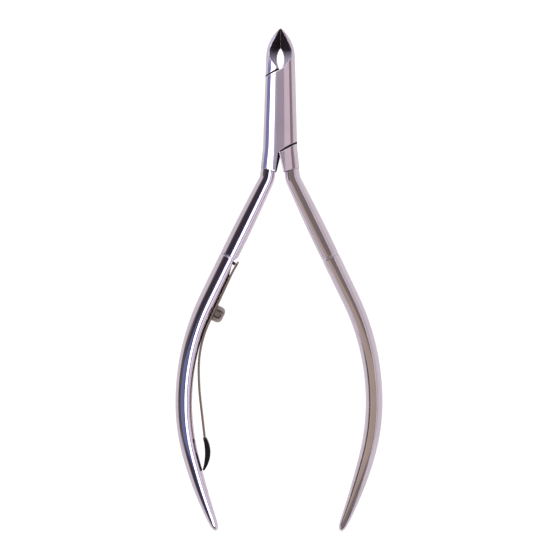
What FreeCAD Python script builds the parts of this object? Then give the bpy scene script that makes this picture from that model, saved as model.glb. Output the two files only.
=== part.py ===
"""Cuticle nipper with a lap joint, a flush rivet and a single swinging leaf spring.

Millimetres. The nipper lies on its back with its jaws closed. The origin is on the pivot axis, in the
plane that the back rests on. +Y runs to the tip of the jaws, +Z out of the front face, +X to the right.
The front lever is the left handle and the right jaw, and the rear lever is the right handle and the
left jaw. Seen from either face, the lap of the nearer lever crosses the whole head.
"""

import FreeCAD
import Part
import math
import os

V = FreeCAD.Vector

# ---- driving dimensions ---------------------------------------------------------------------------
TIP_Y = 17.15  # pivot to tip of the jaws
HEAD_T = 5.2  # thickness of the head, front to back
MID_Z = HEAD_T / 2  # plane where the two laps meet
LAP_GAP = 0.04  # running gap between the laps
EDGE_GAP = 0.02  # gap between the closed cutting edges
BACK_LAND = 0.05  # depth ground off the back to leave a flat land

# outline of the closed head, as half widths
NOSE_Y = 10.9  # where the straight sides turn into the rounded nose
NOSE_HALF = 3.06
TIP_BLUNT = 0.15  # how far past the tip the rounded sides would meet
TIP_END = (0.18, 0.12)  # half width and half thickness of the blunt end
SIDE_FLARE = 0.030  # half width gained per mm from the nose back to the neck
NECK_Y = -8.0  # where the necks start to flare
NECK_FLARE = 0.085  # further half width gained per mm along the necks
CROTCH_Y = -9.3  # where the gap between the necks begins
FRONT_FORK_X = -0.08  # inner side of the right neck at the crotch, in its front half
FRONT_FORK_LEAN = 0.239  # how fast that side moves out, per mm down
BACK_FORK_X = 0.49  # the same in its back half, which is the lap
BACK_FORK_LEAN = 0.132
NECK_GAP = 0.44  # gap between the neck's shoulder and the other lever's lap
NECK_ARC = [(-0.08, -9.3), (1.5, -7.97), (6.0, -6.2)]
NECK_ARC_CORE_Y = -8.72  # the arc's height where it passes the back half's inner side
ROOM_ARC = [(-0.49, -8.86), (1.5, -7.53), (6.0, -5.76)]
JAW_ARC = [(-4.2, 6.6), (-1.5, 8.12), (-EDGE_GAP / 2, 8.9)]  # shoulder of the left jaw, to the cutting edge
JAW_ROOM_ARC = [(-4.2, 6.38), (-1.5, 7.8), (EDGE_GAP / 2, 8.45)]  # end of the lap in front of it
HEAD_POWER = 3.0  # superellipse power of the head's cross-section
HEAD_STATIONS = [-15.0, -12.5, -10.5, -8.6, -6.5, -3.0, 0.5, 4.0, 7.0, 9.0, 10.4, 11.6, 12.7, 13.7, 14.7]
HEAD_STATIONS += [15.6, 16.3, 16.8]

# side profile of the jaws
FRONT_FALL_Y = 8.0  # the front face falls away from here to the tip
FRONT_FALL = 2.2
FRONT_FALL_POWER = 1.8
BACK_RISE_Y = 12.0  # the back face rises from here to the tip
BACK_FLAT_Y = 9.0  # the back face is flat below this
BACK_BLEND = 0.5  # how softly the flat turns into the rise
EDGE_SLOPE = 0.532  # slope of the cutting edges against the handles' plane
EDGE_LAND = 0.12  # height of the flats that meet along the cutting edge

# hollow between the jaws
HOLLOW_TAN = 0.61  # half width of the hollow per mm above the cutting edge
HOLLOW_Y0 = 8.5  # lower end of the hollow and of the relief
HOLLOW_WIDE_Y = 11.2
HOLLOW_HALF = 2.25
HOLLOW_BEND = (1.35, 9.6)  # a point on the hollow's rounded lower outline
RELIEF_TOP_Y = 13.0
RELIEF_HALF_BACK = 0.70
RELIEF_HALF_FRONT = 1.0
RELIEF_GROWTH = 0.8  # how much longer the relief is at its front end

# handles
STEP_TILT = 15.0  # degrees; lean of the shoulder where each neck steps down to its handle
STEP_AT = (2.6, -12.45)
HANDLE_START = (2.36, -11.6)
HANDLE_POWER = 2.3
# first and last angle from the -Y direction towards +X, with a length for a line or a radius for an arc
HANDLE_PATH = [
    ("line", 7.0, 7.0, 2.0),
    ("arc", 7.0, 26.0, 4.0),
    ("line", 26.0, 26.0, 27.2),
    ("arc", 26.0, 0.0, 49.3),
    ("arc", 0.0, -15.0, 44.0),
    ("arc", -15.0, -22.5, 110.0),
    ("line", -22.5, -22.5, 2.0),
]
# (share of the path, half width in the plane, half depth across the plane)
HANDLE_SECTIONS = [
    (0.0, 1.56, 2.16),
    (0.018, 1.58, 2.18),
    (0.036, 1.60, 2.20),
    (0.055, 1.66, 2.21),
    (0.1, 1.76, 2.25),
    (0.2, 1.90, 2.36),
    (0.32, 1.88, 2.47),
    (0.45, 1.82, 2.56),
    (0.58, 1.79, 2.60),
    (0.69, 1.77, 2.57),
    (0.78, 1.68, 2.42),
    (0.86, 1.50, 2.10),
    (0.925, 1.22, 1.66),
    (0.965, 1.00, 1.30),
    (0.985, 0.82, 1.02),
    (0.995, 0.58, 0.70),
    (1.0, 0.28, 0.34),
]
GROOVE_AT = 0.258  # share of the path where the turned mark goes round each handle
GROOVE_WIDE = 0.42
GROOVE_DEEP = 0.1

# pivot rivet
RIVET_R = 1.2
RIVET_HEAD_R = 1.7
RIVET_HEAD_H = 1.0
RIVET_CLEAR = 0.03

# leaf spring, screw, pin and nose: all sit on the inner side of the left handle
LEAF_T = 0.50
LEAF_W = 2.9
LEAF_END_W = 2.1
LEAF_START = (-8.59, -31.60)
LEAF_PATH = [
    ("line", -30.0, -30.0, 1.7),
    ("arc", -30.0, -24.7, 16.0),
    ("line", -24.7, -24.7, 10.9),
    ("arc", -24.7, 0.0, 23.2),
    ("arc", 0.0, 6.8, 58.0),
    ("line", 6.8, 6.8, 10.8),
]
LEAF_TAPER_FROM = 6.0  # distance from the screw to where the leaf starts to narrow
LEAF_TAIL_ROUND = 1.25  # height of the rounded end of the tail
# the seat's upper end dips away from the handle to leave room for the pin
SEAT_DIP = [(-8.7, -30.8), (-9.75, -31.5), (-10.52, -34.5), (-8.0, -34.5), (-7.5, -30.8)]
SEAT_UPPER_Y = -34.4  # the seat follows the leaf between these heights
SEAT_LOWER_Y = -48.6
PAD_UPPER_Y = -35.0  # low pad that brings the handle up to the leaf where its bow falls away
PAD_LOWER_Y = -47.6
PAD_HIGH = 0.7
PAD_WIDE = 3.0
SCREW_Y = -42.2
SCREW_R = 0.8
SHOULDER_R = 1.1
SHOULDER_CLEAR = 0.03
SCREW_HEAD_R = 1.74
SCREW_HEAD_H = 2.0
SCREW_DOME = 0.8
SCREW_DEPTH = 2.3
SLOT_W = 0.5
SLOT_DEPTH = 0.8
SLOT_TURN = 8.0  # degrees from the Z axis
FACE_CLEAR = 0.02  # between the leaf and the faces that guide it
PIN_AT_Y = -32.3
PIN_R = 0.34
PIN_LENGTH = 1.9
PIN_SINK = 0.06  # gap between the pin and the leaf
PIN_ROUND = 0.12
NOSE_START_Y = -68.4
NOSE_W = 2.7
NOSE_CLEAR = 0.01
NOSE_CHEEKS = (0.10, 0.06)  # plastic past the leaf's two faces where the nose begins
NOSE_INNER = (-15.40, -71.9)  # a point on the crescent's hollow side
NOSE_OUTER = (-14.33, -72.2)  # and one on its back
NOSE_TIP = (-15.86, -74.96)
NOSE_HEEL = (-15.52, -75.22)
NOSE_END = (-15.76, -75.18)

LOW, HIGH = -3.0, 9.0  # heights that clear every piece


# ---- small helpers --------------------------------------------------------------------------------
def heading(angle):
    """Unit vector at an angle from the -Y direction towards +X, in degrees."""
    a = math.radians(angle)
    return V(math.sin(a), -math.cos(a), 0)


def left_of(direction):
    """The direction turned a quarter turn, towards +X for a path that runs down."""
    return V(-direction.y, direction.x, 0)


def arc_centre(point, angle, last, radius):
    side = 1.0 if last > angle else -1.0
    return point + left_of(heading(angle)) * (radius * side)


def path_point(path, start, distance):
    """Point and angle at a distance along a path of lines and arcs."""
    point, rest = V(start[0], start[1], 0), distance
    for kind, first, last, size in path:
        length = size if kind == "line" else size * math.radians(abs(last - first))
        if rest <= length or (kind, first, last, size) == path[-1]:
            if kind == "line":
                return point + heading(first) * rest, first
            turned = first + (last - first) * rest / length
            side = 1.0 if last > first else -1.0
            centre = arc_centre(point, first, last, size)
            return centre - left_of(heading(turned)) * (size * side), turned
        rest -= length
        if kind == "line":
            point = point + heading(first) * length
        else:
            side = 1.0 if last > first else -1.0
            centre = arc_centre(point, first, last, size)
            point = centre - left_of(heading(last)) * (size * side)
    raise ValueError("empty path")


def path_length(path):
    return sum(s if k == "line" else s * math.radians(abs(b - a)) for k, a, b, s in path)


def mirror_x(shape):
    return shape.mirror(V(0, 0, 0), V(1, 0, 0))


def turn_over(shape):
    """The same shape seen from the back: half a turn about the head's long centre line."""
    out = shape.copy()
    out.rotate(V(0, 0, MID_Z), V(0, 1, 0), 180)
    return out


def prism(wire_edges, low=LOW, high=HIGH):
    """Closed outline in the XY plane, pulled through the whole thickness."""
    wire = Part.Wire(Part.__sortEdges__(wire_edges))
    face = Part.Face(wire)
    face.translate(V(0, 0, low))
    return face.extrude(V(0, 0, high - low))


def lines(points):
    flat = [V(x, y, 0) for x, y in points]
    return [Part.LineSegment(a, b).toShape() for a, b in zip(flat, flat[1:])]


def arc3(a, b, c):
    return Part.Arc(V(a[0], a[1], 0), V(b[0], b[1], 0), V(c[0], c[1], 0)).toShape()


def layer(low, high):
    """Everything round the head between two heights."""
    return Part.makeBox(30, 60, high - low, V(-15, -30, low))


def superellipse(centre, across, half_across, half_high, power, count=28):
    """Closed smooth outline in the plane of `across` and Z."""
    points = []
    for i in range(count):
        t = 2 * math.pi * i / count
        c, s = math.cos(t), math.sin(t)
        u = math.copysign(abs(c) ** (2 / power), c) * half_across
        w = math.copysign(abs(s) ** (2 / power), s) * half_high
        points.append(centre + across * u + V(0, 0, w))
    curve = Part.BSplineCurve()
    curve.interpolate(Points=points, PeriodicFlag=True)
    return Part.Wire([curve.toShape()])


def one_solid(shape):
    """The largest solid of a boolean result, with seams between coplanar faces removed."""
    solid = max(shape.Solids, key=lambda s: s.Volume)
    return solid.removeSplitter()


# ---- head -----------------------------------------------------------------------------------------
def head_half_width(y):
    if y > NOSE_Y:
        rise = TIP_Y + TIP_BLUNT - NOSE_Y
        radius = (rise**2 + NOSE_HALF**2) / (2 * NOSE_HALF)
        return NOSE_HALF - radius + math.sqrt(radius**2 - (y - NOSE_Y) ** 2)
    half = NOSE_HALF + SIDE_FLARE * (NOSE_Y - y)
    return half + NECK_FLARE * max(0.0, NECK_Y - y)


def head_front(y):
    share = max(0.0, y - FRONT_FALL_Y) / (TIP_Y - FRONT_FALL_Y)
    return HEAD_T - FRONT_FALL * share**FRONT_FALL_POWER


def head_back(y):
    """Height of the back face, before its flat land is ground."""
    if y <= BACK_FLAT_Y:
        return -BACK_LAND
    rise = EDGE_SLOPE * (y - BACK_RISE_Y)
    return -BACK_LAND + (rise + math.sqrt(rise**2 + BACK_BLEND**2)) / 2


def head_blank():
    """Both levers' heads as one closed form, jaws shut."""
    wires = []
    for y in HEAD_STATIONS:
        top, bottom = head_front(y), head_back(y)
        centre = V(0, y, (top + bottom) / 2)
        half = (top - bottom) / 2
        wires.append(superellipse(centre, V(1, 0, 0), head_half_width(y), half, HEAD_POWER))
    tip_z = (head_front(TIP_Y) + head_back(TIP_Y)) / 2
    half_w, half_t = TIP_END
    wires.append(superellipse(V(0, TIP_Y, tip_z), V(1, 0, 0), half_w, half_t, HEAD_POWER))
    return Part.makeLoft(wires, True, False).cut(layer(LOW, 0.0))


def jaw_plan(arc):
    """Everything to the left of the cutting edges and in front of an arc, past the tip."""
    past_tip = TIP_Y + 2.0
    outside, inside = arc[0], arc[2]
    corners = [inside, (inside[0], past_tip), (outside[0], past_tip), outside]
    return prism([arc3(*arc)] + lines(corners))


def jaw_zone():
    """Plan of the left jaw above its shoulder. The rear lever is full thickness here."""
    return jaw_plan(JAW_ARC)


def jaw_room():
    """Plan of what the front lap gives up so that the left jaw can turn."""
    return jaw_plan(JAW_ROOM_ARC)


def step_line(x):
    """Height of the shoulder line between the right neck and its handle at x."""
    return STEP_AT[1] + math.tan(math.radians(STEP_TILT)) * (x - STEP_AT[0])


def neck_zone(inner_x, crotch_y):
    """Plan of the right neck below its shoulder, as far as the step to the handle."""
    crotch, fork = (inner_x, crotch_y), fork_point(inner_x)
    outline = [arc3((inner_x, crotch_y), NECK_ARC[1], NECK_ARC[2])]
    outline += lines([NECK_ARC[2], (6.0, step_line(6.0)), fork, crotch])
    return prism(outline)


def fork_point(inner_x):
    """Where the inner side of the right neck meets the step."""
    lean = FRONT_FORK_LEAN if inner_x < 0 else BACK_FORK_LEAN
    y = step_line(0.8)
    return (inner_x + lean * (CROTCH_Y - y), y)


def neck_room():
    """Plan of what the front lap gives up so that the right neck can turn."""
    crotch = (-BACK_FORK_X, CROTCH_Y + NECK_GAP)
    fork = (-fork_point(BACK_FORK_X)[0], fork_point(BACK_FORK_X)[1])
    outline = [arc3(crotch, ROOM_ARC[1], ROOM_ARC[2])]
    outline += lines([ROOM_ARC[2], (9.0, -20.0), (-3.0, -20.0), fork, crotch])
    return prism(outline)


def neck_block(blank):
    """Right neck: full thickness beside its own lap, and an overhang that reaches past the centre line."""
    core = blank.common(neck_zone(BACK_FORK_X, NECK_ARC_CORE_Y))
    overhang = blank.common(neck_zone(FRONT_FORK_X, CROTCH_Y))
    return core.fuse(overhang.common(layer(MID_Z + LAP_GAP / 2, HIGH)))


def hollow_tool():
    """Ground hollow in front of the cutting edges, together with the relief behind them."""
    front_z, back_z = HEAD_T + 1.0, -0.6
    y0, y1 = 6.0, TIP_Y + 3.0

    def groove_section(y):
        bottom = EDGE_SLOPE * max(0.0, y - BACK_RISE_Y) + EDGE_LAND
        half = HOLLOW_TAN * (front_z + 3.0 - bottom)
        ends = [V(0, y, bottom), V(half, y, front_z + 3.0), V(-half, y, front_z + 3.0)]
        return Part.makePolygon(ends + ends[:1])

    sections = [groove_section(y) for y in (y0, BACK_RISE_Y, y1)]
    groove = Part.makeLoft(sections, True, True)
    side, (bend_x, bend_y) = HOLLOW_HALF, HOLLOW_BEND
    plan = [arc3((0, HOLLOW_Y0), (bend_x, bend_y), (side, HOLLOW_WIDE_Y))]
    plan += lines([(side, HOLLOW_WIDE_Y), (side, y1), (-side, y1), (-side, HOLLOW_WIDE_Y)])
    plan += [arc3((-side, HOLLOW_WIDE_Y), (-bend_x, bend_y), (0, HOLLOW_Y0))]
    groove = groove.common(prism(plan))

    def relief_section(z, half, top):
        low, high = V(0, HOLLOW_Y0 + 0.05, z), V(0, top, z)
        mid_y = (low.y + high.y) / 2
        right = Part.Arc(low, V(half, mid_y, z), high).toShape()
        left = Part.Arc(high, V(-half, mid_y, z), low).toShape()
        return Part.Wire([right, left])

    relief = Part.makeLoft(
        [
            relief_section(back_z, RELIEF_HALF_BACK, RELIEF_TOP_Y),
            relief_section(front_z, RELIEF_HALF_FRONT, RELIEF_TOP_Y + RELIEF_GROWTH),
        ],
        True,
        True,
    )
    return groove.fuse(relief)


def rivet_form(clear):
    """Turned rivet with a countersunk head at each end, grown by a clearance."""
    r, head = RIVET_R + clear, RIVET_HEAD_R + clear
    over = 0.6
    slope = (RIVET_HEAD_R - RIVET_R) / RIVET_HEAD_H
    profile = [
        (0, -over),
        (head + slope * over, -over),
        (r, RIVET_HEAD_H),
        (r, HEAD_T - RIVET_HEAD_H),
        (head + slope * over, HEAD_T + over),
        (0, HEAD_T + over),
        (0, -over),
    ]
    face = Part.Face(Part.makePolygon([V(x, 0, z) for x, z in profile]))
    return face.revolve(V(0, 0, 0), V(0, 0, 1), 360)


# ---- handles --------------------------------------------------------------------------------------
def handle_section(share, half_width, half_depth):
    point, angle = path_point(HANDLE_PATH, HANDLE_START, share * path_length(HANDLE_PATH))
    across = left_of(heading(angle))
    centre = V(point.x, point.y, MID_Z)
    return superellipse(centre, across, half_width, half_depth, HANDLE_POWER, 20)


def right_handle(inset=0.0):
    wires = [handle_section(s, w - inset, d - inset) for s, w, d in HANDLE_SECTIONS]
    return Part.makeLoft(wires, True, False)


def handle_groove():
    """Thin ring that marks the handle, as the material to take away."""
    point, angle = path_point(HANDLE_PATH, HANDLE_START, GROOVE_AT * path_length(HANDLE_PATH))
    slab = Part.makeBox(8, GROOVE_WIDE, 9, V(-4, -GROOVE_WIDE / 2, -4.5))
    slab.rotate(V(0, 0, 0), V(0, 0, 1), angle)
    slab.translate(V(point.x, point.y, MID_Z))
    return slab.cut(right_handle(GROOVE_DEEP))


# ---- levers ---------------------------------------------------------------------------------------
def left_handle_seat(handle):
    """Flat seat, screw hole and pin hole for the spring on the left handle."""
    handle = handle.fuse(seat_pad()).cut(seat_tool())
    handle = handle.cut(screw_shank())
    return handle.cut(pin_body())


def front_lever(blank, hollow):
    lap = layer(MID_Z + LAP_GAP / 2, HIGH).common(blank)
    lap = lap.cut(jaw_room()).cut(neck_room()).cut(mirror_x(below_step()))
    jaw = blank.common(mirror_x(jaw_zone()))
    neck = turn_over(neck_block(turn_over(blank)))
    head = lap.fuse([jaw, neck]).cut(hollow).cut(rivet_form(0.0))
    handle = left_handle_seat(mirror_x(right_handle().cut(handle_groove())))
    return one_solid(head.fuse(handle))


def rear_lever(blank, hollow):
    lap = layer(LOW, MID_Z - LAP_GAP / 2).common(blank)
    lap = lap.cut(turn_over(jaw_room())).cut(turn_over(neck_room())).cut(below_step())
    jaw = blank.common(jaw_zone())
    neck = neck_block(blank)
    head = lap.fuse([jaw, neck]).cut(hollow).cut(rivet_form(RIVET_CLEAR))
    handle = right_handle().cut(handle_groove())
    return one_solid(head.fuse(handle))


def below_step():
    """Everything below the step of the right neck."""
    outline = [(-9.0, step_line(-9.0)), (9.0, step_line(9.0)), (9.0, -30.0), (-9.0, -30.0)]
    return prism(lines(outline + outline[:1]))


# ---- spring and what holds it ----------------------------------------------------------------------
def leaf_distance(y):
    """Distance along the leaf's centre line where it reaches a height y."""
    low, high = 0.0, path_length(LEAF_PATH)
    for _ in range(50):
        middle = (low + high) / 2
        if path_point(LEAF_PATH, LEAF_START, middle)[0].y > y:
            low = middle
        else:
            high = middle
    return low


def leaf_edges(offset, first, last):
    """The leaf's centre line between two distances, moved sideways, as lines and arcs."""
    edges, at, point = [], 0.0, V(LEAF_START[0], LEAF_START[1], 0)
    for kind, a, b, size in LEAF_PATH:
        length = size if kind == "line" else size * math.radians(abs(b - a))
        low, high = max(first, at), min(last, at + length)
        if high - low > 1e-6:
            ends = [low, (low + high) / 2, high]
            moved = []
            for d in ends:
                p, angle = path_point(LEAF_PATH, LEAF_START, d)
                moved.append(p + left_of(heading(angle)) * offset)
            if kind == "line":
                edges.append(Part.LineSegment(moved[0], moved[2]).toShape())
            else:
                edges.append(Part.Arc(*moved).toShape())
        at += length
    return edges


def strip(inner, outer, first, last, low, high):
    """Band between two offsets of the leaf's centre line."""
    a, b = leaf_edges(inner, first, last), leaf_edges(outer, first, last)
    start = Part.LineSegment(a[0].Vertexes[0].Point, b[0].Vertexes[0].Point).toShape()
    end = Part.LineSegment(a[-1].Vertexes[-1].Point, b[-1].Vertexes[-1].Point).toShape()
    return prism(a + b + [start, end], low, high)


def spring_axis():
    """Centre of the screw on the leaf's centre line, and the direction from the handle inwards."""
    point, angle = path_point(LEAF_PATH, LEAF_START, leaf_distance(SCREW_Y))
    return V(point.x, point.y, MID_Z), left_of(heading(angle))


def turned(radius, base, height):
    """Cylinder on the screw's axis, from a distance along it."""
    centre, axis = spring_axis()
    return Part.makeCylinder(radius, height, centre + axis * base, axis)


def seat_tool():
    """Milled seat: everything on the inner side of the leaf's underside, along its fixed part."""
    face, inwards = -LEAF_T / 2 - FACE_CLEAR, 3.0
    flat = strip(face, inwards, leaf_distance(SEAT_UPPER_Y), leaf_distance(SEAT_LOWER_Y), LOW, HIGH)
    return flat.fuse(prism(lines(SEAT_DIP + SEAT_DIP[:1])))


def seat_pad():
    """Low pad under the leaf, flush with the milled seat."""
    face = -LEAF_T / 2 - FACE_CLEAR
    first, last = leaf_distance(PAD_UPPER_Y), leaf_distance(PAD_LOWER_Y)
    return strip(face - PAD_HIGH, face, first, last, MID_Z - PAD_WIDE / 2, MID_Z + PAD_WIDE / 2)


def screw_shank():
    top = -LEAF_T / 2 - FACE_CLEAR
    return turned(SCREW_R, top - SCREW_DEPTH, SCREW_DEPTH)


def spring_screw():
    """Slotted screw with a domed cheese head and a plain shoulder for the leaf to swing on."""
    head_base = LEAF_T / 2 + FACE_CLEAR
    head = turned(SCREW_HEAD_R, head_base, SCREW_HEAD_H)
    rim = [e for e in head.Edges if abs(e.Length - 2 * math.pi * SCREW_HEAD_R) < 1e-3]
    centre, axis = spring_axis()
    top = max(rim, key=lambda e: (e.CenterOfMass - centre).dot(axis))
    head = head.makeFillet(SCREW_DOME, [top])
    slot = Part.makeBox(SLOT_DEPTH * 2, SLOT_W, 8, V(-SLOT_DEPTH, -SLOT_W / 2, -4))
    slot.rotate(V(0, 0, 0), V(1, 0, 0), SLOT_TURN)
    turn = math.degrees(math.atan2(axis.y, axis.x))
    slot.rotate(V(0, 0, 0), V(0, 0, 1), turn)
    slot.translate(centre + axis * (head_base + SCREW_HEAD_H))
    shoulder_base = -LEAF_T / 2 - FACE_CLEAR
    shoulder = turned(SHOULDER_R, shoulder_base, LEAF_T + 2 * FACE_CLEAR)
    return head.cut(slot).fuse([shoulder, screw_shank()]).removeSplitter()


def leaf_spring():
    """Spring steel strip, wide at the screw and tapering to the nose, with a rounded tail."""
    whole = path_length(LEAF_PATH)
    band = strip(-LEAF_T / 2, LEAF_T / 2, 0.0, whole, LOW, HIGH)
    centre, axis = spring_axis()
    down = V(axis.y, -axis.x, 0)
    tail = leaf_distance(SCREW_Y)
    free = whole - tail

    def place(along, across):
        return centre + down * along + V(0, 0, across) - axis * 20

    half, end_half, past_end = LEAF_W / 2, LEAF_END_W / 2, free + 2.0
    points = [
        place(-tail + LEAF_TAIL_ROUND, half),
        place(LEAF_TAPER_FROM, half),
        place(past_end, end_half),
        place(past_end, -end_half),
        place(LEAF_TAPER_FROM, -half),
        place(-tail + LEAF_TAIL_ROUND, -half),
    ]
    edges = [Part.LineSegment(a, b).toShape() for a, b in zip(points, points[1:])]
    edges.append(Part.Arc(points[-1], place(-tail + 0.05, 0.0), points[0]).toShape())
    plan = Part.Face(Part.Wire(edges)).extrude(axis * 40)
    hole = turned(SHOULDER_R + SHOULDER_CLEAR, -2.0, 4.0)
    return one_solid(band.common(plan).cut(hole))


def pin_site():
    """Point on the handle's inner side under the tail of the leaf, and the direction inwards."""
    point, angle = path_point(LEAF_PATH, LEAF_START, leaf_distance(PIN_AT_Y))
    return V(point.x, point.y, MID_Z), left_of(heading(angle))


def pin_body():
    """Pressed-in pin that the tail of the leaf rests over."""
    point, axis = pin_site()
    top = -LEAF_T / 2 - PIN_SINK
    pin = Part.makeCylinder(PIN_R, PIN_LENGTH, point + axis * (top - PIN_LENGTH), axis)
    rim = max(pin.Edges, key=lambda e: (e.CenterOfMass - point).dot(axis))
    return pin.makeFillet(PIN_ROUND, [rim])


def spring_nose():
    """Moulded crescent on the free end of the leaf. Its back slides on the other handle."""
    begin = leaf_distance(NOSE_START_Y)
    p, angle = path_point(LEAF_PATH, LEAF_START, begin)
    side = left_of(heading(angle))
    inner = p - side * (LEAF_T / 2 + NOSE_CHEEKS[0])
    outer = p + side * (LEAF_T / 2 + NOSE_CHEEKS[1])
    edges = [arc3(inner, NOSE_INNER, NOSE_TIP), arc3(outer, NOSE_OUTER, NOSE_HEEL)]
    edges += [arc3(NOSE_TIP, NOSE_END, NOSE_HEEL), Part.LineSegment(inner, outer).toShape()]
    low = MID_Z - NOSE_W / 2
    body = prism(edges, low, low + NOSE_W)
    half_t, half_w = LEAF_T / 2 + NOSE_CLEAR, LEAF_END_W / 2 + 0.12
    end = path_length(LEAF_PATH)
    pocket = strip(-half_t, half_t, begin - 1.0, end, MID_Z - half_w, MID_Z + half_w)
    return one_solid(body.cut(pocket))


# ---- build ----------------------------------------------------------------------------------------
def build():
    blank, hollow = head_blank(), hollow_tool()
    return {
        "front_lever": front_lever(blank, hollow),
        "rear_lever": rear_lever(blank, hollow),
        "pivot_rivet": one_solid(rivet_form(0.0).common(blank)),
        "leaf_spring": leaf_spring(),
        "spring_nose": spring_nose(),
        "spring_screw": spring_screw(),
        "locating_pin": pin_body(),
    }


def main():
    os.makedirs("parts", exist_ok=True)
    for name, shape in build().items():
        shape.exportStep(os.path.join("parts", name + ".step"))
        print(f"{name}: valid {shape.isValid()}, solids {len(shape.Solids)}")
    centre, axis = spring_axis()
    print("spring axis", centre, axis)


main()
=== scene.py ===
"""Looks of a cuticle nipper that lies on its back with the jaws closed. Lengths here are in millimetres
until a mesh is made, which is in metres."""

import math

import bpy
import numpy as np
import openvdb
from mathutils import Matrix, Vector


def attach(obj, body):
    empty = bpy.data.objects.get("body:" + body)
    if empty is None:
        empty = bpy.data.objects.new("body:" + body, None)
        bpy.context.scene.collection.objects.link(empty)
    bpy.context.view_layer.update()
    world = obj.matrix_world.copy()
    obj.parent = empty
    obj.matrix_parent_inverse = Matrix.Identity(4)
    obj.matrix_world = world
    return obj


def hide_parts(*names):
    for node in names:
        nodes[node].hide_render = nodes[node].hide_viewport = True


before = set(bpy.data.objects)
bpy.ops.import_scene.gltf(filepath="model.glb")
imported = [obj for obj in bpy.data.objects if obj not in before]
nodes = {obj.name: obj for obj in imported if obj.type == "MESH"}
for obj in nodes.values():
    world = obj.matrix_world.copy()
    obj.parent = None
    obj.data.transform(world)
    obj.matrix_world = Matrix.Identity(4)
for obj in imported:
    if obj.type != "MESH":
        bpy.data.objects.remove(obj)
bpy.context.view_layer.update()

MM = 0.001

# ---- shape of the head: the solid parts' own, but for both gaps, the rivet's front end and clearance,
# ---- and where OVER_ARC begins -----------------------------------------------------------------------
TIP_Y = 17.15
HEAD_T = 5.2
MID_Z = HEAD_T / 2
LAP_GAP = 0.06
EDGE_GAP = 0.004
BACK_LAND = 0.05
NOSE_Y = 10.9
NOSE_HALF = 3.06
TIP_BLUNT = 0.15
SIDE_FLARE = 0.030
NECK_Y = -8.0
NECK_FLARE = 0.085
CROTCH_Y = -9.3
FRONT_FORK_X = -0.08
FRONT_FORK_LEAN = 0.239
BACK_FORK_X = 0.49
BACK_FORK_LEAN = 0.132
HEAD_POWER = 3.0
LEAST_HALF_T = 0.1
LEAST_SLOPE = 0.12  # how slowly the superellipse's level may grow before its distance is capped
FRONT_FALL_Y = 8.0
FRONT_FALL = 2.2
FRONT_FALL_POWER = 1.8
BACK_RISE_Y = 12.0
EDGE_SLOPE = 0.532
EDGE_LAND = 0.12
HOLLOW_TAN = 0.61
HOLLOW_Y0 = 8.5
HOLLOW_WIDE_Y = 11.2
HOLLOW_HALF = 2.25
HOLLOW_BEND = (1.35, 9.6)
RELIEF_LOW_Y = HOLLOW_Y0 + 0.05
RELIEF_TOP_Y = 13.0
RELIEF_HALF_BACK = 0.70
RELIEF_HALF_FRONT = 1.0
RELIEF_FROM_Z = -0.6
RELIEF_TO_Z = HEAD_T + 1.0
RELIEF_LEAN = 0.8  # how much further forward the opening reaches at the higher of the two
STEP_TILT = 15.0
STEP_AT = (2.6, -12.45)
RIVET_R = 1.2
RIVET_HEAD_R = 1.7
RIVET_HEAD_H = 1.0
RIVET_SLANT = 0.9  # keeps distances true beside the countersinks
RIVET_COVER = 0.4  # metal of the front plate that is left over the rivet's end
BORE_CLEAR = 0.05

# the lap's edges in plan, each an arc through three points, and a point on the side that they bound
JAW_ARC = [(-4.2, 6.6), (-1.5, 8.12), (-EDGE_GAP / 2, 8.9)]
JAW_ROOM_ARC = [(-4.2, 6.38), (-1.5, 7.8), (EDGE_GAP / 2, 8.45)]
IN_JAW = (-3.0, 12.0)
OVER_ARC = [(-0.08, -8.95), (1.5, -7.97), (6.0, -6.2)]
CORE_ARC = [(0.49, -8.72), (1.5, -7.97), (6.0, -6.2)]
ROOM_ARC = [(-0.49, -8.86), (1.5, -7.53), (6.0, -5.76)]
IN_NECK = (3.0, -14.0)

# how far edges are rounded off
SOFT = 0.1
CRISP = 0.06
GROUND_SOFT = 0.07
BORE_SOFT = 0.05
STEP_SOFT = 0.3
BACK_FORK_SOFT = 0.9
BACK_RISE_SOFT = 0.5

FAR_INSIDE = -9.0  # a distance that leaves everything in place
FACE_NEAR = 0.05  # how near to a cut's surface a face's middle is, for it to be part of that cut
CROTCH_SHADE_Y = 0.3  # the faces at the crotch that take the near-black lap material as painted shade: their middle above it, radius, and depth
CROTCH_SHADE_R = 0.45
CROTCH_SHADE_DEPTH = 0.12

# meshes: the cells, the boxes that hold each form, and how points are drawn onto the surface
BAND = 3  # in cells, as is the reach
CREASE_REACH = 0.8
SNAP_TIMES = 2
SNAP_SHARE = 0.7
VOXEL = 0.09
RIVET_VOXEL = 0.06
SCREW_VOXEL = 0.05
HEAD_BOX = ((-5.2, -15.7, -0.4), (5.2, 17.6, 5.6))
RIVET_BOX = ((-2.4, -2.4, -0.4), (2.4, 2.4, 5.2))

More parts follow.
